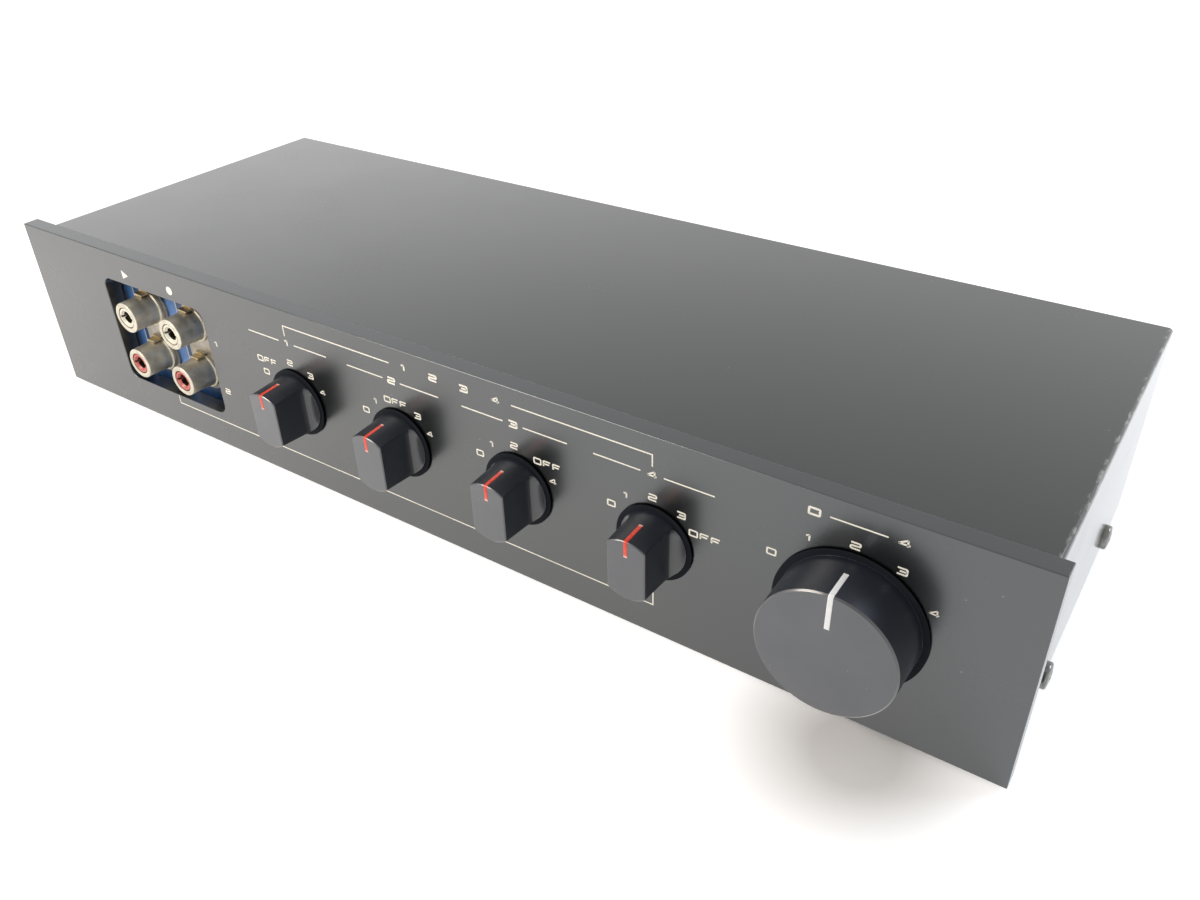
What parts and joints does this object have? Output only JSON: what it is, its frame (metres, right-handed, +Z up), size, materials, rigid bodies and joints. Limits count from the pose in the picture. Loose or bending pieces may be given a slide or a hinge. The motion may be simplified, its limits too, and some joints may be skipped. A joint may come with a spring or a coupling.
{
  "type": "tape deck selector",
  "caption": "Low black box with a thick aluminium front, rotary selector knobs with pointers, a larger monitor knob and phono jacks in a front window and at the back.",
  "frame": {"origin": "on the table, under the middle of the whole box from knob fronts to rear jack mouths", "axes": "+X to the right as seen by the user, -Y out of the front panel, +Z up"},
  "size_m": [0.28, 0.1132, 0.0504],
  "materials": {
    "black_anodised_aluminium": "fine satin, black anodised, legends printed in cream",
    "black_satin_paint": "satin black paint, worn at the bends",
    "zinc_plated_steel": "dull zinc plate",
    "black_oxide_steel": "satin black",
    "black_rubber": "matt",
    "blue_board": "semi-gloss lacquered laminate",
    "nickel_plate": "dull nickel plate",
    "white_plastic": "semi-gloss",
    "red_plastic": "semi-gloss",
    "tinned_steel": "dull tin",
    "tinned_brass": "dull, flux-browned",
    "black_knob_plastic": "satin",
    "red_enamel": "semi-gloss",
    "white_enamel": "semi-gloss",
    "brown_laminate": "matt phenolic laminate",
    "grey_vinyl": "soft satin"
  },
  "bodies": {
    "box": {"board_screws": "zinc_plated_steel", "board_spacers": "nickel_plate", "centre_contacts": "tinned_brass", "chassis_tray": "black_satin_paint", "cover_screws": "black_oxide_steel", "earth_plates": "tinned_brass", "foot_screws": "zinc_plated_steel", "front_jack_board": "blue_board", "front_panel": "black_anodised_aluminium", "index_caps": "zinc_plated_steel", "jack_shells": "nickel_plate", "jack_washers": "tinned_steel", "lock_washers": "nickel_plate", "panel_screws": "zinc_plated_steel", "rear_jack_board": "blue_board", "red_insulators": "red_plastic", "ribbon_cables": "grey_vinyl", "rubber_feet": "black_rubber", "solder_tags": "tinned_brass", "switch_frame_1": "zinc_plated_steel", "switch_frame_2": "zinc_plated_steel", "switch_frame_3": "zinc_plated_steel", "switch_frame_4": "zinc_plated_steel", "switch_frame_monitor": "zinc_plated_steel", "switch_nuts": "nickel_plate", "switch_spacers": "nickel_plate", "tie_screws": "zinc_plated_steel", "top_cover": "black_satin_paint", "wafers_1": "brown_laminate", "wafers_2": "brown_laminate", "wafers_3": "brown_laminate", "wafers_4": "brown_laminate", "wafers_monitor": "brown_laminate", "white_insulators": "white_plastic"},
    "selector_1": {"knob_1": "black_knob_plastic", "pointer_1": "red_enamel", "grub_screw_1": "black_oxide_steel", "shaft_1": "nickel_plate", "rotors_1": "brown_laminate"},
    "selector_2": {"knob_2": "black_knob_plastic", "pointer_2": "red_enamel", "grub_screw_2": "black_oxide_steel", "shaft_2": "nickel_plate", "rotors_2": "brown_laminate"},
    "selector_3": {"knob_3": "black_knob_plastic", "pointer_3": "red_enamel", "grub_screw_3": "black_oxide_steel", "shaft_3": "nickel_plate", "rotors_3": "brown_laminate"},
    "selector_4": {"knob_4": "black_knob_plastic", "pointer_4": "red_enamel", "grub_screw_4": "black_oxide_steel", "shaft_4": "nickel_plate", "rotors_4": "brown_laminate"},
    "monitor_selector": {"knob_monitor": "black_knob_plastic", "pointer_monitor": "white_enamel", "grub_screw_monitor": "black_oxide_steel", "shaft_monitor": "nickel_plate", "rotors_monitor": "brown_laminate"}
  },
  "joints": [
    {"name": "selector_1_turn", "type": "hinge", "parent": "box", "child": "selector_1", "pos_m": [-0.03495, -0.04541, 0.0258], "axis": [0, 1, 0], "range_deg": [-60, 60]},
    {"name": "selector_2_turn", "type": "hinge", "parent": "box", "child": "selector_2", "pos_m": [-0.00112, -0.04541, 0.0258], "axis": [0, 1, 0], "range_deg": [-60, 60]},
    {"name": "selector_3_turn", "type": "hinge", "parent": "box", "child": "selector_3", "pos_m": [0.03271, -0.04541, 0.0258], "axis": [0, 1, 0], "range_deg": [-60, 60]},
    {"name": "selector_4_turn", "type": "hinge", "parent": "box", "child": "selector_4", "pos_m": [0.06654, -0.04541, 0.0258], "axis": [0, 1, 0], "range_deg": [-60, 60]},
    {"name": "monitor_selector_turn", "type": "hinge", "parent": "box", "child": "monitor_selector", "pos_m": [0.1073, -0.04541, 0.0258], "axis": [0, 1, 0], "range_deg": [-60, 60]}
  ]
}
